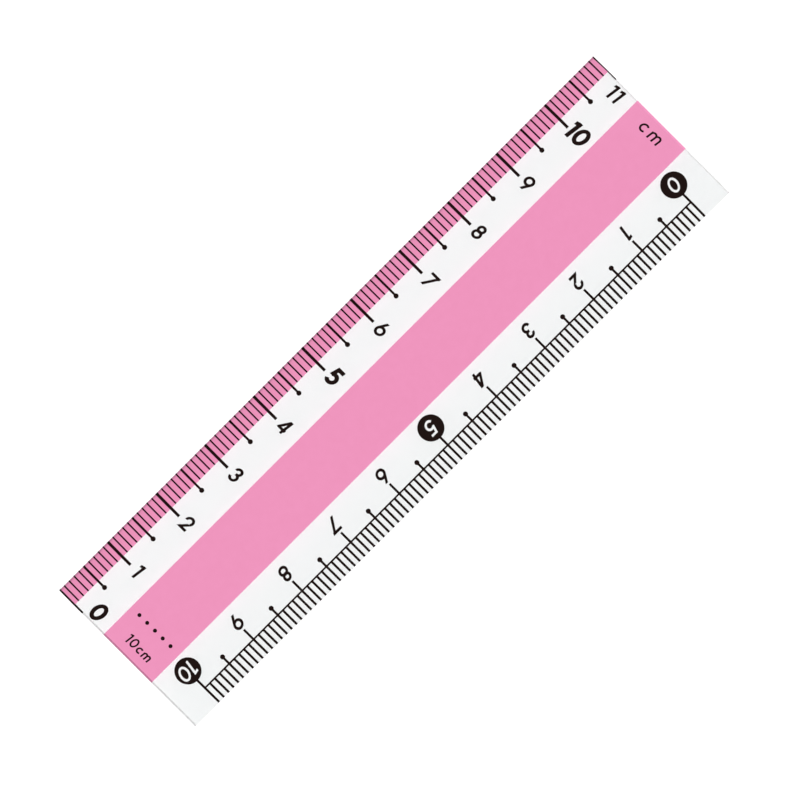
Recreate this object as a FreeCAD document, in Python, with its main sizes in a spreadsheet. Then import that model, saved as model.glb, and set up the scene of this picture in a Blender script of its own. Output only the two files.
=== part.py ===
"""Clear acrylic ten-centimetre ruler with a printed face, as a parametric document.

Frame: +X runs along the ruler from its zero end, +Y points to the coloured measuring edge,
+Z is up. The origin is the middle of the flat underside. Millimetres throughout.

The ruler is one bevelled acrylic blank. Every printed film on it is a thin solid of its own:
two colour bands, then the black marks, numerals and discs of two scales. The edge scale
counts 0 to 11 cm along the +Y edge. The lower scale counts 10 to 0 cm along the -Y edge and
is read with the ruler turned round.
"""
import FreeCAD, Part
import math
import os
import Sketcher
from FreeCAD import Placement, Rotation, Vector

# alias, value in millimetres or degrees, what it drives
SIZES = [
    ("ruler_length", 110.0, "blank, end to end"),
    ("ruler_width", 28.0, "blank, long edge to long edge"),
    ("ruler_thickness", 2.0, "blank, between the flat faces"),
    ("edge_thickness", 1.6, "blank, at the foot of each bevel"),
    ("bevel_width", 2.8, "bevel along each long edge"),
    ("edge_round", 0.5, "rounding between a bevel and the long edge's wall"),
    ("foot_round", 0.15, "rounding under each long edge"),
    ("band_film", 0.02, "thickness of a colour band"),
    ("mark_film", 0.05, "height of the black print over the acrylic"),
    ("film_wrap", 75.0, "how far round the measuring edge's rounding the print goes, in degrees"),
    ("lower_wrap", 60.0, "how far round the lower edge's rounding the marks go, in degrees"),
    ("edge_band_width", 3.1, "colour band along the measuring edge"),
    ("centre_band_start", 9.1, "colour band along the middle, from the measuring edge"),
    ("centre_band_width", 9.9, "colour band along the middle"),
    ("millimetre", 1.0, "pitch of the finest marks"),
    ("centimetre", 10.0, "pitch of the numbered marks"),
    ("millimetre_mark", 0.24, "width of a millimetre mark, edge scale"),
    ("half_mark", 0.35, "width of a half-centimetre mark, edge scale"),
    ("centimetre_mark", 0.445, "width of a centimetre mark, edge scale"),
    ("zero_mark", 0.31, "width of the mark that the zero end cuts off"),
    ("last_mark", 0.17, "width of the mark that the far end cuts off"),
    ("half_mark_reach", 4.37, "dot of a half-centimetre mark, from the measuring edge"),
    ("centimetre_mark_reach", 4.73, "tip of a centimetre mark, from the measuring edge"),
    ("dot_radius", 0.375, "dot on every half-centimetre mark"),
    ("lower_margin", 5.0, "lower scale, from each end of the ruler"),
    ("baseline_near", 2.82, "rule of the lower scale, its side by the lower edge"),
    ("baseline_far", 3.09, "rule of the lower scale, its side by the numerals"),
    ("lower_mark", 0.355, "width of every mark of the lower scale"),
    ("lower_half_reach", 4.34, "dot of a half-centimetre mark, from the lower edge"),
    ("lower_centimetre_reach", 4.97, "tip of a centimetre mark, from the lower edge"),
    ("lower_numeral_line", 6.47, "middle of the lower numerals, from the lower edge"),
    ("disc_radius", 1.985, "discs behind the lower 0, 5 and 10"),
    ("numeral_foot", 1.09, "numerals stand this far before their centimetre mark"),
    ("end_numeral_foot", 2.87, "the last numeral stands this far before the end"),
    ("first_numeral_foot", 0.42, "the first numeral stands this far from the zero end"),
    ("edge_numeral_line", 6.35, "middle of the edge numerals, from the measuring edge"),
    ("numeral_height", 2.38, "thin numerals of both scales"),
    ("numeral_stroke", 0.42, "line of a thin numeral"),
    ("heavy_height", 2.9, "heavy numerals 0, 5 and 10 of the edge scale"),
    ("heavy_stroke", 0.62, "line of a heavy numeral"),
    ("disc_numeral_height", 2.3, "numerals left clear in the discs"),
    ("disc_numeral_stroke", 0.34, "line of a numeral left clear in a disc"),
    ("unit_height", 2.2, "height of a figure in the unit label"),
    ("unit_stroke", 0.3, "line of the unit label"),
    ("length_height", 1.56, "height of a figure in the length label"),
    ("length_stroke", 0.26, "line of the length label"),
    ("label_line", 14.0, "middle of the printed labels, from the measuring edge"),
    ("unit_foot", 2.9, "unit label's foot, from the far end"),
    ("length_foot", 1.57, "length label's foot, from the zero end"),
    ("dot_row_place", 5.75, "row of dots, from the zero end"),
    ("dot_row_pitch", 1.6, "pitch of the dots in the row"),
    ("row_dot_radius", 0.3, "each dot of the row"),
    ("lean_angle", 8.0, "slant of the numerals, in degrees"),
]

# Strokes of each figure, in units of its height less one stroke. Across, 0 is the middle;
# up, 0 is the centre line of a stroke on the foot line and 1 of one on the head line.
# A bar runs from one point to another. A bow is an oval of two radii, drawn between two angles.
# PAIR_OFFSET and the labels place each figure across from the middle, in the same units.
FULL_TURN = 360.0
FIGURES = {
    "0": [("bow", 0.0, 0.5, 0.327, 0.5, 0.0, FULL_TURN)],
    "1": [("bar", 0.0, 0.0, 0.0, 1.0), ("bar", -0.31, 0.93, 0.0, 1.0)],
    "2": [("bow", -0.032, 0.714, 0.284, 0.284, -42.0, 190.0),
          ("bar", 0.179, 0.525, -0.236, 0.0), ("bar", -0.338, 0.0, 0.356, 0.0)],
    "3": [("bow", -0.035, 0.769, 0.244, 0.234, -90.0, 183.0),
          ("bow", -0.01, 0.271, 0.276, 0.271, -170.0, 90.0), ("bar", -0.09, 0.538, 0.0, 0.538)],
    "4": [("bar", 0.174, 0.0, 0.174, 1.1), ("bar", -0.336, 0.152, 0.15, 1.1),
          ("bar", -0.363, 0.219, 0.358, 0.219)],
    "5": [("bar", -0.221, 1.0, 0.3, 1.0), ("bar", -0.242, 0.453, -0.165, 1.0),
          ("bow", -0.021, 0.303, 0.293, 0.303, -153.0, 143.0)],
    "6": [("bow", 0.002, 0.306, 0.313, 0.308, 0.0, FULL_TURN),
          ("bar", -0.282, 0.438, -0.02, 1.0)],
    "7": [("bar", -0.408, 1.0, 0.423, 1.0), ("bar", -0.207, 0.0, 0.295, 1.0)],
    "8": [("bow", -0.01, 0.754, 0.243, 0.246, 0.0, FULL_TURN),
          ("bow", 0.005, 0.276, 0.291, 0.276, 0.0, FULL_TURN)],
    "9": [("bow", -0.03, 0.694, 0.313, 0.308, 0.0, FULL_TURN),
          ("bar", -0.01, 0.0, 0.252, 0.562)],
    "c": [("bow", 0.0, 0.3, 0.3, 0.3, 48.0, 312.0)],
    "m": [("bar", -0.44, 0.0, -0.44, 0.6), ("bow", -0.22, 0.38, 0.22, 0.22, 0.0, 180.0),
          ("bow", 0.22, 0.38, 0.22, 0.22, 0.0, 180.0),
          ("bar", 0.0, 0.0, 0.0, 0.38), ("bar", 0.44, 0.0, 0.44, 0.38)],
}
PAIR_OFFSET = {"10": 0.3435, "11": 0.3025}
STRONGER_EVERY = 5
UNIT_LABEL = [("c", -0.7), ("m", 0.42)]
LENGTH_LABEL = [("1", -1.35), ("0", -0.62), ("c", 0.4), ("m", 1.42)]
ROW_DOTS = 5
EDGE_UPRIGHT = Rotation(Vector(0, 0, 1), -90)
TURNED_ROUND = Rotation(Vector(0, 0, 1), 180)

doc = FreeCAD.newDocument("ruler")
sheet = doc.addObject("Spreadsheet::Sheet", "sizes")
for row, (alias, value, use) in enumerate(SIZES, start=1):
    sheet.set(f"A{row}", alias)
    sheet.set(f"B{row}", str(value))
    sheet.setAlias(f"B{row}", alias)
    sheet.set(f"C{row}", use)
doc.recompute()


def size(alias):
    """A driving size, read from the sheet."""
    return float(sheet.get(alias))


nodes = []


def new_body(label, base=(None, None, None), turn=Rotation()):
    """A body with its own label, turned, and placed by an expression (or none) for x, y and z."""
    body = doc.addObject("PartDesign::Body", label)
    body.Label = label
    body.AllowCompound = True
    body.Placement = Placement(Vector(0, 0, 0), turn)
    for axis, where in zip("xyz", base):
        if where:
            body.setExpression(f"Placement.Base.{axis}", where)
    nodes.append(body)
    return body


def new_sketch(body, name, plane="XY_Plane", lift=None):
    """A sketch on one of the body's own planes, moved along the plane's normal by lift."""
    sketch = body.newObject("Sketcher::SketchObject", name)
    support = next(part for part in body.Origin.OriginFeatures if part.Role == plane)
    sketch.AttachmentSupport = [(support, "")]
    sketch.MapMode = "FlatFace"
    if lift:
        sketch.setExpression("AttachmentOffset.Base.z", lift)
    return sketch


def polygon(sketch, points):
    """Closed straight-sided outline with its corners joined."""
    first = sketch.GeometryCount
    for start, end in zip(points, points[1:] + points[:1]):
        sketch.addGeometry(Part.LineSegment(Vector(*start, 0), Vector(*end, 0)), False)
    for step in range(len(points)):
        following = first + (step + 1) % len(points)
        sketch.addConstraint(Sketcher.Constraint("Coincident", first + step, 2, following, 1))


def circle(sketch, x, y, radius_alias):
    """Circle whose radius follows the sheet."""
    index = sketch.addGeometry(Part.Circle(Vector(x, y, 0), Vector(0, 0, 1), size(radius_alias)), False)
    rule = sketch.addConstraint(Sketcher.Constraint("Radius", index, size(radius_alias)))
    sketch.setExpression(f"Constraints[{rule}]", f"sizes.{radius_alias}")


def pad(body, sketch, name, length, both_ways=False):
    """Pad of a sketch by an expression."""
    feature = body.newObject("PartDesign::Pad", name)
    feature.Profile = sketch
    feature.setExpression("Length", length)
    if both_ways:
        feature.SideType = "Symmetric"
    return feature


def repeat_along(body, features, count, pitches):
    """Copies of features along +X. The gaps between copies follow the list of pitches, over and over."""
    pattern = body.newObject("PartDesign::LinearPattern", "along_the_scale")
    pattern.Originals = features
    along = next(part for part in body.Origin.OriginFeatures if part.Role == "X_Axis")
    pattern.Direction = (along, [""])
    pattern.Mode = "Spacing"
    pattern.setExpression("Offset", "sizes." + pitches[0][1])
    pattern.Occurrences = count
    if len(pitches) > 1:
        pattern.SpacingPattern = [times * size(alias) for times, alias in pitches]
    body.Tip = pattern
    return pattern


# ---- the ruler's cross-section, over which every film lies ----

HALF_WIDTH = size("ruler_width") / 2
TOP = size("ruler_thickness")
CREST_Y = HALF_WIDTH - size("bevel_width")
BEVEL_DROP = TOP - size("edge_thickness")
BEVEL_ANGLE = math.atan2(BEVEL_DROP, size("bevel_width"))
OUT_OF_BEVEL = (math.sin(BEVEL_ANGLE), math.cos(BEVEL_ANGLE))
EDGE_ROUND = size("edge_round")
TANGENT_RUN = EDGE_ROUND * math.tan((math.pi / 2 - BEVEL_ANGLE) / 2)
ROUND_START = (HALF_WIDTH - TANGENT_RUN * math.cos(BEVEL_ANGLE),
               size("edge_thickness") + TANGENT_RUN * math.sin(BEVEL_ANGLE))
ROUND_CENTRE = (HALF_WIDTH - EDGE_ROUND, ROUND_START[1] - EDGE_ROUND * OUT_OF_BEVEL[1])


def crest(rise):
    """Corner between flat and bevel, for a surface that lies a rise above the acrylic."""
    return (CREST_Y + rise * math.tan(BEVEL_ANGLE / 2), TOP + rise)


def bevel_foot(rise):
    """Where the bevel turns into the edge rounding, for a surface a rise above the acrylic."""
    return (ROUND_START[0] + rise * OUT_OF_BEVEL[0], ROUND_START[1] + rise * OUT_OF_BEVEL[1])


def on_rounding(rise, degrees):
    """Point over the edge rounding whose normal leans outwards by an angle."""
    reach = EDGE_ROUND + rise
    lean = math.radians(degrees)
    return (ROUND_CENTRE[0] + reach * math.sin(lean), ROUND_CENTRE[1] + reach * math.cos(lean))


def film_outline(sketch, inner_end, under, over, wrap, side=1):
    """Section of a film from its inner end, over the crest and the bevel, round the long edge.

    inner_end lists the points under the film before the crest. under and over are the rises
    of its two faces over the acrylic. wrap names the angle that it goes round the edge's
    rounding. side is 1 for the measuring edge, -1 for the lower one.
    """
    lower = list(inner_end) + [crest(under), bevel_foot(under)]
    upper = [(inner_end[0][0], TOP + over), crest(over), bevel_foot(over)]
    angles = (math.degrees(BEVEL_ANGLE), size(wrap))
    stops = (angles[0], sum(angles) / 2, angles[1])
    arcs = [[on_rounding(rise, stop) for stop in stops] for rise in (under, over)]
    edges = list(zip(lower, lower[1:])) + list(zip(upper, upper[1:]))
    edges += [(lower[0], upper[0]), (arcs[0][-1], arcs[1][-1])]
    for start, end in edges:
        line = Part.LineSegment(Vector(side * start[0], start[1], 0), Vector(side * end[0], end[1], 0))
        sketch.addGeometry(line, False)
    for arc in arcs:
        sketch.addGeometry(Part.Arc(*[Vector(side * y, z, 0) for y, z in arc]), False)


# ---- the acrylic blank ----

def dimension(sketch, name, alias, *geometry):
    """Distance constraint of a sketch that follows a size on the sheet."""
    rule = sketch.addConstraint(Sketcher.Constraint(*geometry, size(alias)))
    sketch.renameConstraint(rule, name)
    sketch.setExpression("Constraints." + name, "sizes." + alias)


def make_blank():
    """Cast acrylic strip: flat faces, a bevel along each long edge, square ends."""
    body = new_body("acrylic_blank")
    sketch = new_sketch(body, "section", "YZ_Plane")
    foot = size("edge_thickness")
    right = [(HALF_WIDTH, 0), (HALF_WIDTH, foot), (CREST_Y, TOP)]
    polygon(sketch, [(-HALF_WIDTH, 0)] + right + [(-CREST_Y, TOP), (-HALF_WIDTH, foot)])
    base, wall, bevel, top, far_bevel, far_wall = range(6)
    for level in (base, top):
        sketch.addConstraint(Sketcher.Constraint("Horizontal", level))
    for upright in (wall, far_wall):
        sketch.addConstraint(Sketcher.Constraint("Vertical", upright))
    sketch.addConstraint(Sketcher.Constraint("Equal", wall, far_wall))
    sketch.addConstraint(Sketcher.Constraint("Equal", bevel, far_bevel))
    sketch.addConstraint(Sketcher.Constraint("Symmetric", base, 1, base, 2, -1, 1))
    dimension(sketch, "width", "ruler_width", "DistanceX", base, 1, base, 2)
    dimension(sketch, "thickness", "ruler_thickness", "DistanceY", base, 2, top, 1)
    dimension(sketch, "edge", "edge_thickness", "DistanceY", wall, 1, wall, 2)
    dimension(sketch, "bevel", "bevel_width", "DistanceX", bevel, 2, bevel, 1)
    strip = pad(body, sketch, "strip", "sizes.ruler_length", both_ways=True)
    doc.recompute()
    for name, alias, height in (("edge_rounding", "edge_round", foot), ("foot_rounding", "foot_round", 0)):
        rounding = body.newObject("PartDesign::Fillet", name)
        rounding.Base = (strip, long_edges_at(strip.Shape, height))
        rounding.setExpression("Radius", "sizes." + alias)
        doc.recompute()
        strip = rounding
    return body


def long_edges_at(shape, height):
    """Names of the two edges along X that lie on the long sides at a height."""
    names = []
    for number, edge in enumerate(shape.Edges, start=1):
        middle = edge.CenterOfMass
        along = abs(edge.Vertexes[0].X - edge.Vertexes[-1].X) > HALF_WIDTH
        on_side = abs(abs(middle.y) - HALF_WIDTH) < EDGE_ROUND / 2
        if along and on_side and abs(middle.z - height) < EDGE_ROUND / 2:
            names.append(f"Edge{number}")
    return names


# ---- the colour bands ----

def make_edge_band():
    """Pink band over the bevel of the measuring edge, from end to end."""
    body = new_body("edge_band")
    sketch = new_sketch(body, "section", "YZ_Plane")
    film_outline(sketch, [(HALF_WIDTH - size("edge_band_width"), TOP)], 0, size("band_film"), "film_wrap")
    pad(body, sketch, "film", "sizes.ruler_length", both_ways=True)


def make_centre_band():
    """Pink band along the middle of the flat face, from end to end."""
    body = new_body("centre_band", (None, None, "sizes.ruler_thickness"))
    sketch = new_sketch(body, "outline")
    far_side = HALF_WIDTH - size("centre_band_start")
    near_side = far_side - size("centre_band_width")
    half_length = size("ruler_length") / 2
    polygon(sketch, rectangle(-half_length, near_side, half_length, far_side))
    pad(body, sketch, "film", "sizes.band_film")


def rectangle(left, bottom, right, top):
    """Corners of an upright rectangle, anticlockwise."""
    return [(left, bottom), (right, bottom), (right, top), (left, top)]


# ---- the edge scale ----

BAND_LIMIT_Y = HALF_WIDTH - size("edge_band_width")


def mark_path(reach):
    """Points under an edge mark before the crest: on the acrylic, then up onto the band."""
    on_band = (BAND_LIMIT_Y, TOP + size("band_film"))
    if reach <= size("edge_band_width"):
        return [on_band]
    return [(HALF_WIDTH - reach, TOP), (BAND_LIMIT_Y, TOP), on_band]


def edge_mark(body, name, reach, place, width, both_ways=True):
    """One mark of the edge scale, as wide as width and centred on (or starting at) place."""
    sketch = new_sketch(body, name + "_section", "YZ_Plane", place)
    film_outline(sketch, mark_path(reach), size("band_film"), size("mark_film"), "film_wrap")
    return pad(body, sketch, name, width, both_ways)


def make_edge_marks():
    """Marks of the edge scale: every millimetre, every half, every whole centimetre, the two ends."""
    zero = "-sizes.ruler_length / 2"
    centimetres = round(size("ruler_length") / size("centimetre"))

    body = new_body("edge_scale_millimetre_marks")
    mark = edge_mark(body, "mark", size("edge_band_width"), zero + " + sizes.millimetre",
                     "sizes.millimetre_mark")
    steps = [(1, "millimetre"), (1, "millimetre"), (1, "millimetre"), (2, "millimetre")]
    marks_per_centimetre = 2 * len(steps)
    repeat_along(body, [mark], centimetres * marks_per_centimetre, steps)

    body = new_body("edge_scale_half_centimetre_marks")
    reach = size("half_mark_reach")
    mark = edge_mark(body, "mark", reach, zero + " + sizes.centimetre / 2", "sizes.half_mark")
    sketch = new_sketch(body, "dot_outline", lift="sizes.ruler_thickness")
    middle = (size("centimetre") - size("ruler_length")) / 2
    circle(sketch, middle, HALF_WIDTH - reach, "dot_radius")
    dot = pad(body, sketch, "dot", "sizes.mark_film")
    repeat_along(body, [mark, dot], centimetres, [(1, "centimetre")])

    body = new_body("edge_scale_centimetre_marks")
    reach = size("centimetre_mark_reach")
    mark = edge_mark(body, "mark", reach, zero + " + sizes.centimetre", "sizes.centimetre_mark")
    repeat_along(body, [mark], centimetres - 1, [(1, "centimetre")])

    body = new_body("edge_scale_end_marks")
    edge_mark(body, "first_mark", reach, zero, "sizes.zero_mark", both_ways=False)
    edge_mark(body, "last_mark", reach, "sizes.ruler_length / 2 - sizes.last_mark", "sizes.last_mark",
              both_ways=False)


# ---- the lower scale ----

def lower(distance):
    """Y of a line at a distance from the lower edge."""
    return distance - HALF_WIDTH


def make_lower_marks():
    """Rule, millimetre marks and taller marks of the lower scale."""
    half_scale = size("ruler_length") / 2 - size("lower_margin")
    half_mark = size("lower_mark") / 2
    scale_centimetres = round(2 * half_scale / size("centimetre"))
    millimetre_marks = round(2 * half_scale / size("millimetre")) + 1
    top_face = (None, None, "sizes.ruler_thickness")

    body = new_body("lower_scale_rule", top_face)
    sketch = new_sketch(body, "outline")
    rule_far = lower(size("baseline_far"))
    rule_near = lower(size("baseline_near"))
    polygon(sketch, rectangle(-half_scale - half_mark, rule_near, half_scale + half_mark, rule_far))
    pad(body, sketch, "film", "sizes.mark_film")

    body = new_body("lower_scale_millimetre_marks")
    sketch = new_sketch(body, "section", "YZ_Plane", "sizes.lower_margin - sizes.ruler_length / 2")
    film_outline(sketch, [(-rule_near, TOP)], 0, size("mark_film"), "lower_wrap", side=-1)
    mark = pad(body, sketch, "mark", "sizes.lower_mark", both_ways=True)
    repeat_along(body, [mark], millimetre_marks, [(1, "millimetre")])

    body = new_body("lower_scale_half_centimetre_marks", top_face)
    sketch = new_sketch(body, "stem_outline")
    first = size("centimetre") / 2 - half_scale
    dot_line = lower(size("lower_half_reach"))
    polygon(sketch, rectangle(first - half_mark, rule_far, first + half_mark, dot_line))
    stem = pad(body, sketch, "stem", "sizes.mark_film")
    sketch = new_sketch(body, "dot_outline")
    circle(sketch, first, dot_line, "dot_radius")
    dot = pad(body, sketch, "dot", "sizes.mark_film")
    repeat_along(body, [stem, dot], scale_centimetres, [(1, "centimetre")])

    body = new_body("lower_scale_centimetre_marks", top_face)
    sketch = new_sketch(body, "stem_outline")
    first = size("centimetre") - half_scale
    tip = lower(size("lower_centimetre_reach"))
    polygon(sketch, rectangle(first - half_mark, rule_far, first + half_mark, tip))
    stem = pad(body, sketch, "stem", "sizes.mark_film")
    one, over_the_disc = (1, "centimetre"), (2, "centimetre")
    between_discs = scale_centimetres // 2 - 1
    gaps = [one] * (between_discs - 1) + [over_the_disc]
    repeat_along(body, [stem], 2 * between_discs, gaps)


# ---- figures ----

LEAN = math.tan(math.radians(size("lean_angle")))


def leaning(x, y):
    """A point of an upright figure, in the slanted one."""
    return Vector(x + LEAN * y, y, 0)


def bar_corners(start, end, stroke):
    """Corners of a straight stroke: a rising one is cut level, a level one is cut upright."""
    run, rise = end[0] - start[0], end[1] - start[1]
    length = math.hypot(run, rise)
    if abs(rise) > abs(run) / 2:
        aside = (stroke / 2 * length / abs(rise), 0)
    else:
        aside = (0, stroke / 2 * length / abs(run))
    ends = [(start, 1), (end, 1), (end, -1), (start, -1)]
    return [leaning(x + sign * aside[0], y + sign * aside[1]) for (x, y), sign in ends]


def leaning_oval(centre, across, up):
    """Ellipse that an upright oval becomes when the figure is slanted."""
    skew = LEAN * up
    spread = across ** 2 + skew ** 2
    difference = math.hypot(spread - up ** 2, 2 * skew * up)
    major = math.sqrt((spread + up ** 2 + difference) / 2)
    minor = across * up / major
    tilt = math.atan2(2 * skew * up, spread - up ** 2) / 2
    middle = leaning(*centre)
    ahead = Vector(math.cos(tilt), math.sin(tilt), 0)
    aside = Vector(-math.sin(tilt), math.cos(tilt), 0)
    return Part.Ellipse(middle + ahead * major, middle + aside * minor, middle)


def draw_bow(sketch, centre, across, up, stroke, start, end):
    """Curved stroke between two angles of an oval: a ring when it goes all the way round."""
    ovals = [(across + side * stroke / 2, up + side * stroke / 2) for side in (1, -1)]
    tips = []
    for wide, high in ovals:
        oval = leaning_oval(centre, wide, high)
        if end - start >= FULL_TURN:
            sketch.addGeometry(oval, False)
            continue
        ends = []
        for angle in (math.radians(start), math.radians(end)):
            ends.append(leaning(centre[0] + wide * math.cos(angle), centre[1] + high * math.sin(angle)))
        tips.append(ends)
        sketch.addGeometry(Part.ArcOfEllipse(oval, *[oval.parameter(tip) for tip in ends]), False)
    for outer, inner in zip(*tips):
        sketch.addGeometry(Part.LineSegment(outer, inner), False)


def add_figure(body, figure, offset, height, stroke, feature_type):
    """Every stroke of a figure, each a feature that adds film or leaves a gap in it."""
    unit = height - stroke
    for number, (kind, *values) in enumerate(FIGURES[figure]):
        sketch = new_sketch(body, f"{kind}_{number}_outline")
        if kind == "bar":
            ends = []
            rising = abs(values[3] - values[1]) > abs(values[2] - values[0]) / 2
            for (across, up), other in ((values[:2], values[2:]), (values[2:], values[:2])):
                x, y = (across + offset) * unit, (up - 0.5) * unit
                if rising and up in (0.0, 1.0):
                    carried = math.copysign(stroke / 2, up - other[1])
                    x += carried * (across - other[0]) / (up - other[1])
                    y += carried
                ends.append((x, y))
            corners = bar_corners(*ends, stroke)
            polygon(sketch, [(corner.x, corner.y) for corner in corners])
        else:
            across, up, wide, high, start, end = values
            centre = ((across + offset) * unit, (up - 0.5) * unit)
            draw_bow(sketch, centre, wide * unit, high * unit, stroke, start, end)
        if feature_type == "Pad":
            pad(body, sketch, f"{kind}_{number}", "sizes.mark_film")
        else:
            gap = body.newObject("PartDesign::Pocket", f"{kind}_{number}_gap")
            gap.Profile = sketch
            gap.Reversed = True
            gap.setExpression("Length", "sizes.mark_film")


def figure_offsets(text):
    """Figures of a number with the place of each, in figure units."""
    if len(text) == 1:
        return [(text, 0.0)]
    shift = PAIR_OFFSET[text]
    return list(zip(text, (-shift, shift)))


def make_edge_numerals():
    """Numbers 0 to 11, read from the zero end: each stands just before its centimetre mark."""
    last = round(size("ruler_length") / size("centimetre"))
    for value in range(last + 1):
        heavy = value % STRONGER_EVERY == 0
        height, stroke = ("heavy_height", "heavy_stroke") if heavy else ("numeral_height", "numeral_stroke")
        foot = f"{value} * sizes.centimetre - sizes.numeral_foot"
        if value == 0:
            foot = "sizes.first_numeral_foot"
        if value == last:
            foot = "sizes.ruler_length - sizes.end_numeral_foot"
        along = f"{foot} + sizes.{height} / 2 - sizes.ruler_length / 2"
        across = "sizes.ruler_width / 2 - sizes.edge_numeral_line"
        body = new_body(f"edge_numeral_{value}", (along, across, "sizes.ruler_thickness"), EDGE_UPRIGHT)
        for figure, offset in figure_offsets(str(value)):
            add_figure(body, figure, offset, size(height), size(stroke), "Pad")


def make_lower_numerals():
    """Numbers 10 to 0, read with the ruler turned round. 0, 5 and 10 are left clear in discs."""
    across = "sizes.lower_numeral_line - sizes.ruler_width / 2"
    last = round((size("ruler_length") - 2 * size("lower_margin")) / size("centimetre"))
    for value in range(last + 1):
        along = f"sizes.ruler_length / 2 - sizes.lower_margin - {value} * sizes.centimetre"
        base = (along, across, "sizes.ruler_thickness")
        if value % STRONGER_EVERY:
            body = new_body(f"lower_numeral_{value}", base, TURNED_ROUND)
            height, stroke, feature_type = "numeral_height", "numeral_stroke", "Pad"
        else:
            body = new_body(f"lower_disc_{value}", base, TURNED_ROUND)
            make_disc(body)
            height, stroke, feature_type = "disc_numeral_height", "disc_numeral_stroke", "Pocket"
        for figure, offset in figure_offsets(str(value)):
            add_figure(body, figure, offset, size(height), size(stroke), feature_type)


def make_disc(body):
    """Round film with a stem that joins it to the rule of the scale."""
    sketch = new_sketch(body, "disc_outline")
    circle(sketch, 0, 0, "disc_radius")
    pad(body, sketch, "disc", "sizes.mark_film")
    sketch = new_sketch(body, "stem_outline")
    half_mark = size("lower_mark") / 2
    inside_the_rim = size("disc_radius") - size("lower_mark")
    rule = size("lower_numeral_line") - size("baseline_far")
    polygon(sketch, rectangle(-half_mark, inside_the_rim, half_mark, rule))
    pad(body, sketch, "stem", "sizes.mark_film")


# ---- labels on the centre band ----

def make_label(label, text, foot, height, stroke):
    """Short label across the centre band, turned like the edge numerals."""
    across = "sizes.ruler_width / 2 - sizes.label_line"
    on_band = "sizes.ruler_thickness + sizes.band_film"
    along = f"{foot} + sizes.{height} / 2 - sizes.ruler_length / 2"
    body = new_body(label, (along, across, on_band), EDGE_UPRIGHT)
    for figure, offset in text:
        add_figure(body, figure, offset, size(height), size(stroke), "Pad")
    for feature in body.Group:
        if feature.TypeId == "PartDesign::Pad":
            feature.setExpression("Length", "sizes.mark_film - sizes.band_film")


def make_labels():
    """Unit at the far end, nominal length at the zero end, and a plain row of dots beside it."""
    make_label("unit_label", UNIT_LABEL, "sizes.ruler_length - sizes.unit_foot",
               "unit_height", "unit_stroke")
    make_label("length_label", LENGTH_LABEL, "sizes.length_foot", "length_height", "length_stroke")

    body = new_body("dot_row", ("sizes.dot_row_place - sizes.ruler_length / 2",
                                "sizes.ruler_width / 2 - sizes.label_line",
                                "sizes.ruler_thickness + sizes.band_film"), EDGE_UPRIGHT)
    sketch = new_sketch(body, "dot_outline")
    circle(sketch, -size("dot_row_pitch") * (ROW_DOTS - 1) / 2, 0, "row_dot_radius")
    dot = pad(body, sketch, "dot", "sizes.mark_film - sizes.band_film")
    repeat_along(body, [dot], ROW_DOTS, [(1, "dot_row_pitch")])


def check_and_export():
    """Stop on any failed object, then write each node's shape and print what it measures."""
    doc.recompute()
    for thing in doc.Objects:
        if "Invalid" in thing.State or "Error" in thing.State:
            raise RuntimeError(f"{thing.Label} did not recompute: {thing.State}")
    os.makedirs("parts", exist_ok=True)
    for body in nodes:
        shape = body.Shape
        if shape.isNull() or not shape.isValid() or not shape.Solids:
            raise RuntimeError(f"{body.Label} has no valid solid")
        shape.exportStep(f"parts/{body.Label}.step")
        box = shape.BoundBox
        print(f"{body.Label}: {len(shape.Solids)} solids, {shape.Volume:.3f} mm3, "
              f"x {box.XMin:.2f} to {box.XMax:.2f}, y {box.YMin:.2f} to {box.YMax:.2f}, "
              f"z {box.ZMin:.2f} to {box.ZMax:.2f}")


make_blank()
make_edge_band()
make_centre_band()
make_edge_marks()
make_edge_numerals()
make_lower_marks()
make_lower_numerals()
make_labels()
check_and_export()
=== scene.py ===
# %% [markdown]
# # A clear acrylic ruler, lit and finished
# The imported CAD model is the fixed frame. It already holds every printed mark at its real place.
# This lesson gives the ruler its looks: a polished acrylic body with broken ends, ink that wraps
# those ends, materials, a floor, light and a camera that looks straight down.

# %% Load the frame
import math

import bpy
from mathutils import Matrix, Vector


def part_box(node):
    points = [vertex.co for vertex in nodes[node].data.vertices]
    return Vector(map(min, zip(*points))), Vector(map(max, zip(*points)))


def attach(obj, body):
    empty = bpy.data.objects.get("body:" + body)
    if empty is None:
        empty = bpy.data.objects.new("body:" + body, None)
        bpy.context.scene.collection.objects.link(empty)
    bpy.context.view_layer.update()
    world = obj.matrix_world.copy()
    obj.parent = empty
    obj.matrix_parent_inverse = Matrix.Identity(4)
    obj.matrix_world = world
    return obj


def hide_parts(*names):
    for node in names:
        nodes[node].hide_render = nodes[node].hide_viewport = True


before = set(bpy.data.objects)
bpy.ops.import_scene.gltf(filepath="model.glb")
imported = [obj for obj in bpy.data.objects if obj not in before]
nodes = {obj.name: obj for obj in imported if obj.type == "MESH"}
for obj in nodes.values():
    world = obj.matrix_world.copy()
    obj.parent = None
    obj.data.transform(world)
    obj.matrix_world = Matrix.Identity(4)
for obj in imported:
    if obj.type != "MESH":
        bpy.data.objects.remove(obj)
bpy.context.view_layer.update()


# %% [markdown]
# ## Sizes
# The CAD works in millimetres and Blender in metres, so one function turns one into the other.
# The blank's section is measured on its CAD mesh: the crest where the flat face turns into the
# bevel, and the point where the bevel turns into the small rounding of the long edge.

# %% Measure the blank
def mm(value):
    """Millimetres to Blender's metres."""
    return value / 1000


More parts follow.
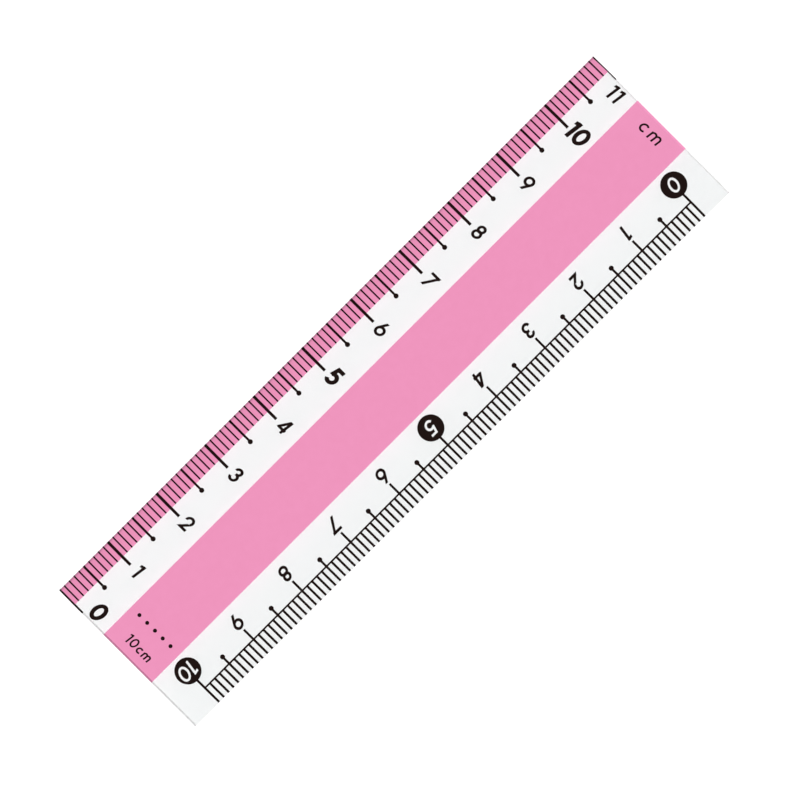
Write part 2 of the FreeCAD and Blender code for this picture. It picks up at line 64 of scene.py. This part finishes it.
TINY = mm(0.001)
blank_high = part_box("acrylic_blank")[1]
top_face = blank_high.z
half_width = blank_high.y
half_length = blank_high.x
blank_points = [vertex.co for vertex in nodes["acrylic_blank"].data.vertices]
crest_y = max(point.y for point in blank_points if point.z > top_face - TINY)
round_start = max((point for point in blank_points if point.y > crest_y + TINY), key=lambda point: point.z)
bevel_slope = (top_face - round_start.z) / (round_start.y - crest_y)
corner_z = top_face - bevel_slope * (half_width - crest_y)
print(f"crest at y {crest_y * 1000:.2f} mm, bevel falls {bevel_slope:.3f}, "
      f"wall {corner_z * 1000:.2f} mm high")


# %% [markdown]
# ## Helpers for modelling by hand
# Operators act on whatever is selected, so every step starts with nothing selected, makes its
# piece active and picks faces or edges by a test on where they are or which way they face.

# %% Selecting
def make_active(piece):
    """Select one piece alone and make it the active one."""
    bpy.ops.object.select_all(action="DESELECT")
    piece.select_set(True)
    bpy.context.view_layer.objects.active = piece


def edit_where(piece, kind, wanted):
    """Open a piece in edit mode with only the wanted faces or edges selected. Returns how many."""
    make_active(piece)
    bpy.ops.object.mode_set(mode="EDIT")
    bpy.ops.mesh.select_mode(type=kind)
    bpy.ops.mesh.select_all(action="DESELECT")
    bpy.ops.object.mode_set(mode="OBJECT")
    elements = piece.data.polygons if kind == "FACE" else piece.data.edges
    count = 0
    for element in elements:
        element.select = wanted(element)
        count += element.select
    bpy.ops.object.mode_set(mode="EDIT")
    return count


def edge_ends(piece, edge):
    """The two end points of an edge."""
    return [piece.data.vertices[index].co for index in edge.vertices]


def cut_away(piece, point, normal, fill):
    """Slice a whole piece with a plane and drop what lies on the normal's side."""
    edit_where(piece, "FACE", lambda face: True)
    bpy.ops.mesh.bisect(plane_co=point, plane_no=normal, clear_outer=True, use_fill=fill)
    bpy.ops.object.mode_set(mode="OBJECT")


# %% [markdown]
# ## The acrylic blank
# The real strip is cut from cast sheet, and its long edges are milled to a bevel and rounded.
# The same order works here. A cube is added at the strip's size, one slice takes each wedge off,
# and a bevel gives the long edges the CAD's own rounding, so the printed marks still lie on them.
# Ink is bonded to the sheet. Two faces in the same place would flicker, so the upper side stands
# 5 thousandths of a millimetre higher than in the CAD, and the ink's underside lies inside it.

# %% Model the blank
ink_bond = mm(0.005)
foot_radius = mm(0.15)
rounding_steps = 6
round_profile = 0.5
face_height = top_face + ink_bond
wall_height = corner_z + ink_bond

bpy.ops.object.select_all(action="DESELECT")
bpy.ops.mesh.primitive_cube_add(size=1, location=(0, 0, face_height / 2))
blank = bpy.context.object
blank.name = "polished_acrylic_blank"
blank.scale = (2 * half_length, 2 * half_width, face_height)
bpy.ops.object.transform_apply(location=True, rotation=False, scale=True)

for side in (1, -1):
    cut_away(blank, (0, side * crest_y, face_height), (0, side * bevel_slope, 1), fill=True)

tangent_run = (Vector((half_width, corner_z)) - Vector((round_start.y, round_start.z))).length


def along_at(level):
    """Test for the two long outer edges at a level above the underside."""
    def test(edge):
        ends = edge_ends(blank, edge)
        return all(abs(abs(end.y) - half_width) < TINY and abs(end.z - level) < TINY for end in ends)
    return test


for level, run in ((wall_height, tangent_run), (0.0, foot_radius)):
    edges = edit_where(blank, "EDGE", along_at(level))
    bpy.ops.mesh.bevel(offset=run, offset_type="OFFSET", segments=rounding_steps, profile=round_profile)
    bpy.ops.object.mode_set(mode="OBJECT")
    print(f"rounded {edges} long edges at {level * 1000:.1f} mm")


# %% [markdown]
# ## Ends with broken rims
# A sawn rim is sharp and chips, so it is taken off with fine paper. The narrow slope that this
# leaves is what shows the ends of a clear strip from above. A bevel round the whole rim would stop
# at the tiny edges of the long edges' rounding. Slices don't care about them: one over the flat
# face and one over each bevel, all leaning by 45 degrees. Smooth shading then joins the small
# steps of the roundings and leaves every corner steeper than the angle crisp.

# %% Break the ends
end_chamfer = mm(0.3)
smooth_below = math.radians(14)
chamfer_start = half_length - end_chamfer
for end in (-1, 1):
    cut_away(blank, (end * chamfer_start, 0, face_height), (end, 0, 1), fill=True)
    for side in (1, -1):
        crest_point = (end * chamfer_start, side * crest_y, face_height)
        cut_away(blank, crest_point, (end, side * bevel_slope, 1), fill=True)
print("ends broken, faces in all:", len(blank.data.polygons))
make_active(blank)
bpy.ops.object.shade_smooth_by_angle(angle=smooth_below)


# %% [markdown]
# ## Ink that follows the acrylic
# Ink has no shape of its own: it takes that of the face it is printed on. So a film is cut from
# the blank. Copy the blank, keep what faces up inside a rectangle, move it to the height of the
# ink below, and give it the film's thickness with Solidify. The heights are measured on the CAD.

# %% A film cut from the face
facing_up = 0.12
past_the_end = half_length + mm(1)
past_the_edge = half_width + mm(1)
pink_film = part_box("centre_band")[1].z - top_face
black_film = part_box("lower_scale_rule")[1].z - top_face


def printed_film(name, x_span, y_span, under, over):
    """A film between two heights over the CAD's face, inside a rectangle seen from above."""
    make_active(blank)
    bpy.ops.object.duplicate()
    film = bpy.context.object
    film.name = name
    edit_where(film, "FACE", lambda face: face.normal.z < facing_up)
    bpy.ops.mesh.delete(type="FACE")
    bpy.ops.object.mode_set(mode="OBJECT")
    low_x, high_x = x_span
    low_y, high_y = y_span
    for point, normal in (((low_x, 0, 0), (-1, 0, 0)), ((high_x, 0, 0), (1, 0, 0)),
                          ((0, low_y, 0), (0, -1, 0)), ((0, high_y, 0), (0, 1, 0))):
        cut_away(film, point, normal, fill=False)
    edit_where(film, "FACE", lambda face: True)
    bpy.ops.transform.shrink_fatten(value=under - ink_bond)
    bpy.ops.object.mode_set(mode="OBJECT")
    thickness = film.modifiers.new("film", "SOLIDIFY")
    thickness.thickness = over - under
    thickness.offset = 1
    bpy.ops.object.modifier_apply(modifier=thickness.name)
    bpy.ops.object.shade_smooth_by_angle(angle=smooth_below)
    return film


print(f"pink film {pink_film * 1000:.2f} mm, black print {black_film * 1000:.2f} mm over the acrylic")


# %% [markdown]
# ## The colour bands
# The two pink bands run off both ends of the strip and over its broken rims, where the CAD's
# square films would stand out like shelves. They are cut past the ends, so nothing falls short.

# %% The two colour bands
edge_band_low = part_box("edge_band")[0].y
centre_band_low, centre_band_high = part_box("centre_band")
whole_length = (-past_the_end, past_the_end)
on_edge_band = (edge_band_low, past_the_edge)
on_centre_band = (centre_band_low.y, centre_band_high.y)
edge_band = printed_film("pink_edge_band", whole_length, on_edge_band, 0, pink_film)
centre_band = printed_film("pink_centre_band", whole_length, on_centre_band, 0, pink_film)
print("bands:", [len(piece.data.polygons) for piece in (edge_band, centre_band)], "faces")


# %% [markdown]
# ## The first and the last mark
# The ends cut these two marks off, so they run over the rims as well. Each lies partly on the
# pink and partly on bare acrylic, one step lower, so it is cut in two parts. The inner sides are
# measured on the CAD. All other marks keep their CAD solids, which already fit.

# %% The marks at both ends
end_marks_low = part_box("edge_scale_end_marks")[0].y
end_mark_sides = [vertex.co.x for vertex in nodes["edge_scale_end_marks"].data.vertices]
zero_mark_side = max(x for x in end_mark_sides if x < 0)
last_mark_side = min(x for x in end_mark_sides if x > 0)
on_acrylic = (end_marks_low, edge_band_low)
end_parts = []
for span in ((-past_the_end, zero_mark_side), (last_mark_side, past_the_end)):
    end_parts.append(printed_film("mark_on_band", span, on_edge_band, pink_film, black_film))
    end_parts.append(printed_film("mark_on_acrylic", span, on_acrylic, 0, black_film))
make_active(end_parts[0])
for part in end_parts[1:]:
    part.select_set(True)
bpy.ops.object.join()
end_marks = end_parts[0]
end_marks.name = "end_marks"
print("end marks:", len(end_marks.data.polygons), "faces")


# %% [markdown]
# ## One way to add nodes and colours
# Colours are written as sRGB hex, as a colour picker shows them, and one function turns them to
# the linear values that a shader needs. One more adds a node with its settings and links.

# %% Colour and node helpers
def linear(hex_colour):
    """sRGB hex, such as F095BE, to a linear colour with alpha."""
    channels = [int(hex_colour[start:start + 2], 16) / 255 for start in (0, 2, 4)]
    return [c / 12.92 if c <= 0.04045 else ((c + 0.055) / 1.055) ** 2.4 for c in channels] + [1.0]


def add_node(tree, kind, inputs=None, **settings):
    """A node of a kind. inputs maps a socket to a value or to another node's output."""
    node = tree.nodes.new(kind)
    for name, value in settings.items():
        setattr(node, name, value)
    for socket, value in (inputs or {}).items():
        if isinstance(value, bpy.types.NodeSocket):
            tree.links.new(value, node.inputs[socket])
        else:
            node.inputs[socket].default_value = value
    return node


def new_material(name):
    """An empty material and its node tree."""
    material = bpy.data.materials.new(name)
    material.use_nodes = True
    material.node_tree.nodes.clear()
    return material, material.node_tree


def per_metre(size_mm):
    """Noise scale that gives features of a real size, on coordinates in metres."""
    return 1 / mm(size_mm)


# %% [markdown]
# ## Cast acrylic, polished
# Acrylic is clearer than glass, bends light a little less (IOR 1.49) and scratches easily. Its
# faces are glossy, with faint hairlines from wiping, which the roughness and a very small bump
# carry. A slight grey tint stands for the light that the sheet keeps back.

# %% Acrylic material
acrylic_ior = 1.49
acrylic, tree = new_material("cast_acrylic_polished")
place = add_node(tree, "ShaderNodeTexCoord").outputs["Object"]
wipe_direction = add_node(tree, "ShaderNodeMapping", {
    "Vector": place, "Rotation": (0, 0, math.radians(24)), "Scale": (0.04, 1.0, 1.0)})
hairlines = add_node(tree, "ShaderNodeTexNoise", {"Vector": wipe_direction.outputs[0],
                                                  "Scale": per_metre(0.3), "Detail": 3.0})
polish = add_node(tree, "ShaderNodeMapRange", {"Value": hairlines.outputs["Fac"], "From Min": 0.35,
                                               "From Max": 0.75, "To Min": 0.015, "To Max": 0.06})
relief = add_node(tree, "ShaderNodeBump", {"Height": hairlines.outputs["Fac"], "Strength": 0.04,
                                           "Distance": mm(0.01)})
body = add_node(tree, "ShaderNodeBsdfPrincipled", {
    "Base Color": linear("EAECEC"), "Roughness": polish.outputs[0], "Normal": relief.outputs[0],
    "IOR": acrylic_ior, "Transmission Weight": 1.0})
add_node(tree, "ShaderNodeOutputMaterial", {"Surface": body.outputs[0]})
print(acrylic.name, "has", len(tree.nodes), "nodes")


# %% [markdown]
# ## Acrylic as the saw leaves it
# The strip is cut to length last, and the rims of its two ends are broken with fine paper. Walls
# and rims are frosted: part of the light is scattered at the surface and part goes in. So a rim
# looks whitish where it faces the lamp and grey where it turns away. Saw lines stand upright on
# the walls, a tenth of a millimetre apart. A noise squeezed to a twentieth of its height draws
# them, which is cheaper than cutting grooves and as good at this size.

# %% Sawn acrylic material
sawn, tree = new_material("cast_acrylic_sawn")
place = add_node(tree, "ShaderNodeTexCoord").outputs["Object"]
upright = add_node(tree, "ShaderNodeMapping", {"Vector": place, "Scale": (1.0, 1.0, 0.05)})
saw_lines = add_node(tree, "ShaderNodeTexNoise", {"Vector": upright.outputs[0], "Scale": per_metre(0.1),
                                                  "Detail": 2.0})
frost = add_node(tree, "ShaderNodeMapRange", {"Value": saw_lines.outputs["Fac"], "To Min": 0.5,
                                              "To Max": 0.75})
grooves = add_node(tree, "ShaderNodeBump", {"Height": saw_lines.outputs["Fac"], "Strength": 0.3,
                                            "Distance": mm(0.02)})
body = add_node(tree, "ShaderNodeBsdfPrincipled", {
    "Base Color": linear("D9D9D9"), "Roughness": frost.outputs[0], "Normal": grooves.outputs[0],
    "IOR": acrylic_ior, "Transmission Weight": 0.6})
add_node(tree, "ShaderNodeOutputMaterial", {"Surface": body.outputs[0]})
print(sawn.name, "has", len(tree.nodes), "nodes")


# %% [markdown]
# ## Screen-printed ink
# Ink dries to a thin satin skin, a little uneven where the mesh of the screen laid it down. The
# pink is opaque and even in colour, with a faint mottle. The black is a warm process black.

# %% Ink materials
def ink(name, thin_hex, full_hex, roughness):
    """Satin ink whose colour drifts between two near tones and whose skin is slightly uneven."""
    spread = 0.08
    material, tree = new_material(name)
    place = add_node(tree, "ShaderNodeTexCoord").outputs["Object"]
    mottle = add_node(tree, "ShaderNodeTexNoise", {"Vector": place, "Scale": per_metre(1.2),
                                                   "Detail": 4.0})
    tone = add_node(tree, "ShaderNodeMix", {"Factor": mottle.outputs["Fac"], 6: linear(thin_hex),
                                            7: linear(full_hex)}, data_type="RGBA")
    mesh_marks = add_node(tree, "ShaderNodeTexNoise", {"Vector": place, "Scale": per_metre(0.12),
                                                       "Detail": 2.0})
    satin = add_node(tree, "ShaderNodeMapRange", {"Value": mesh_marks.outputs["Fac"],
                                                  "To Min": roughness - spread,
                                                  "To Max": roughness + spread})
    skin = add_node(tree, "ShaderNodeBump", {"Height": mesh_marks.outputs["Fac"], "Strength": 0.15,
                                             "Distance": mm(0.01)})
    body = add_node(tree, "ShaderNodeBsdfPrincipled", {
        "Base Color": tone.outputs[2], "Roughness": satin.outputs[0], "Normal": skin.outputs[0],
        "IOR": 1.5, "Specular IOR Level": 0.08})
    add_node(tree, "ShaderNodeOutputMaterial", {"Surface": body.outputs[0]})
    return material


pink_ink = ink("pink_screen_ink", "E18EB4", "DD89AE", 0.45)
black_ink = ink("black_screen_ink", "180D0B", "150A08", 0.5)
print("inks:", pink_ink.name, black_ink.name)


# %% [markdown]
# ## Who wears what
# The blank and the four films that wrap the ends stand for their CAD nodes. Every other node is
# a printed mark that stays as it is and takes the black ink.

# %% Hand out materials and places
def dress(piece, material):
    """Give a piece one material all over."""
    piece.data.materials.clear()
    piece.data.materials.append(material)


stand_ins = [
    (blank, acrylic, "acrylic_blank", "clear_acrylic"),
    (edge_band, pink_ink, "edge_band", "pink_ink"),
    (centre_band, pink_ink, "centre_band", "pink_ink"),
    (end_marks, black_ink, "edge_scale_end_marks", "black_ink"),
]
for piece, material, node, slot in stand_ins:
    dress(piece, material)
    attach(piece, "root")
    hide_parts(node)
blank.data.materials.append(sawn)
sawn_faces = edit_where(blank, "FACE", lambda face: abs(face.center.x) > chamfer_start)
blank.active_material_index = 1
bpy.ops.object.material_slot_assign()
bpy.ops.object.mode_set(mode="OBJECT")
print("sawn faces:", sawn_faces)

replaced = {node for _, _, node, _ in stand_ins}
for name, node in nodes.items():
    if name not in replaced:
        dress(node, black_ink)
print("CAD nodes that keep their shape:", len(nodes) - len(replaced))


# %% [markdown]
# ## White paper
# A clear thing is judged by what lies under it, so the floor is plain matt white paper. It is far
# wider than any view and lies a hair under the ruler: two faces in one place would turn black.

# %% Floor
floor_half = 3.0
floor_gap = mm(0.05)
bpy.ops.object.select_all(action="DESELECT")
bpy.ops.mesh.primitive_plane_add(size=2 * floor_half, location=(0, 0, -floor_gap))
floor = bpy.context.object
floor.name = "floor"
paper, tree = new_material("white_paper_floor")
sheet = add_node(tree, "ShaderNodeBsdfPrincipled", {"Base Color": linear("F7F7F7"), "Roughness": 0.9,
                                                    "Specular IOR Level": 0.0})
add_node(tree, "ShaderNodeOutputMaterial", {"Surface": sheet.outputs[0]})
dress(floor, paper)
print(f"floor {2 * floor_half:.0f} m wide, {floor_gap * 1000:.2f} mm under the ruler")


# %% [markdown]
# ## The room
# A small clear object on white looks best in a bright, even room. One world could not give the
# paper, the polish and the background their right tones together, so it answers each kind of ray
# in its own way. Straight to the camera it is a white backdrop. In the polish of the acrylic it is
# a room with darker walls, brighter overhead and on the lamp's side, which draws the edges. To
# anything matt it is a dim fill, because the lamp does most of that work.

# %% World
lamp_bearing = math.radians(-45)
lamp_height = math.radians(63)
lamp_side = Vector((math.cos(lamp_bearing), math.sin(lamp_bearing), 0))
wall_strength = 0.35
ceiling_strength = 0.7
ceiling_from = 0.8
lamp_side_glow = 0.25
fill_strength = 0.12
backdrop_strength = 1.05
white = (1, 1, 1, 1)

world = bpy.data.worlds.new("soft_room")
bpy.context.scene.world = world
world.use_nodes = True
tree = world.node_tree
tree.nodes.clear()
direction = add_node(tree, "ShaderNodeTexCoord").outputs["Generated"]
height = add_node(tree, "ShaderNodeSeparateXYZ", {"Vector": direction}).outputs["Z"]
to_the_lamp = add_node(tree, "ShaderNodeVectorMath", {0: direction, 1: lamp_side}, operation="DOT_PRODUCT")
walls = add_node(tree, "ShaderNodeMapRange", {"Value": height, "From Min": 0.0, "From Max": ceiling_from,
                                              "To Min": wall_strength, "To Max": ceiling_strength})
glow = add_node(tree, "ShaderNodeMath", {0: to_the_lamp.outputs["Value"], 1: lamp_side_glow,
                                         2: walls.outputs[0]}, operation="MULTIPLY_ADD")
mirrored_room = add_node(tree, "ShaderNodeBackground", {"Color": white, "Strength": glow.outputs[0]})
fill_light = add_node(tree, "ShaderNodeBackground", {"Color": white, "Strength": fill_strength})
backdrop = add_node(tree, "ShaderNodeBackground", {"Color": white, "Strength": backdrop_strength})
ray = add_node(tree, "ShaderNodeLightPath").outputs
mirrored = add_node(tree, "ShaderNodeMath", {0: ray["Is Glossy Ray"], 1: ray["Is Transmission Ray"]},
                    operation="MAXIMUM")
no_matt_bounce = add_node(tree, "ShaderNodeMath", {0: ray["Diffuse Depth"], 1: 0.5}, operation="LESS_THAN")
in_the_polish = add_node(tree, "ShaderNodeMath", {0: mirrored.outputs[0], 1: no_matt_bounce.outputs[0]},
                         operation="MULTIPLY")
room = add_node(tree, "ShaderNodeMixShader", {0: in_the_polish.outputs[0], 1: fill_light.outputs[0],
                                              2: mirrored_room.outputs[0]})
seen = add_node(tree, "ShaderNodeMixShader", {0: ray["Is Camera Ray"], 1: room.outputs[0],
                                              2: backdrop.outputs[0]})
add_node(tree, "ShaderNodeOutputWorld", {"Surface": seen.outputs[0]})
print(world.name, "has", len(tree.nodes), "nodes")


# %% [markdown]
# ## The key light
# A sun is even from end to end, where a lamp near the ruler would fade along it. It comes from
# beyond the far end and the lower edge, so the zero end and the measuring edge, which turn away
# from it, get a thin darker line. It casts no shadow: light that had to pass the acrylic to reach
# the paper would lose strength on the way, and the clear parts would look grey. It is hidden from
# reflections, where a bare disc of light would show.

# %% Key light
light_data = bpy.data.lights.new("key_light", "SUN")
light_data.energy = 3.71
light_data.angle = math.radians(25)
light_data.use_shadow = False
light_data.cycles.use_multiple_importance_sampling = False
key_light = bpy.data.objects.new("key_light", light_data)
bpy.context.scene.collection.objects.link(key_light)
towards_lamp = lamp_side * math.cos(lamp_height) + Vector((0, 0, math.sin(lamp_height)))
key_light.rotation_euler = (-towards_lamp).to_track_quat("-Z", "Y").to_euler()
key_light.visible_glossy = False
key_light.visible_transmission = False
print("the lamp stands towards", [round(part, 2) for part in towards_lamp])


# %% [markdown]
# ## The camera
# A scale is read from straight above, and a long lens keeps every mark in its true place. The
# camera is turned so that the ruler runs from lower left to upper right. Its distance follows
# from the lens and the size of the frame, so either can be changed alone.

# %% Camera
frame_side = mm(116.43)
view_centre = Vector((mm(-0.30), mm(-1.48)))
camera_data = bpy.data.cameras.new("camera")
camera_data.lens = 200
camera_data.sensor_width = 36
camera = bpy.data.objects.new("camera", camera_data)
bpy.context.scene.collection.objects.link(camera)
distance = frame_side * camera_data.lens / camera_data.sensor_width
camera.location = (view_centre.x, view_centre.y, top_face + distance)
camera.rotation_euler = (0, 0, math.radians(-45))
bpy.context.scene.camera = camera
bpy.context.scene.view_settings.view_transform = "Standard"
print(f"camera {distance * 1000:.0f} mm above the ruler, frame {frame_side * 1000:.1f} mm wide")
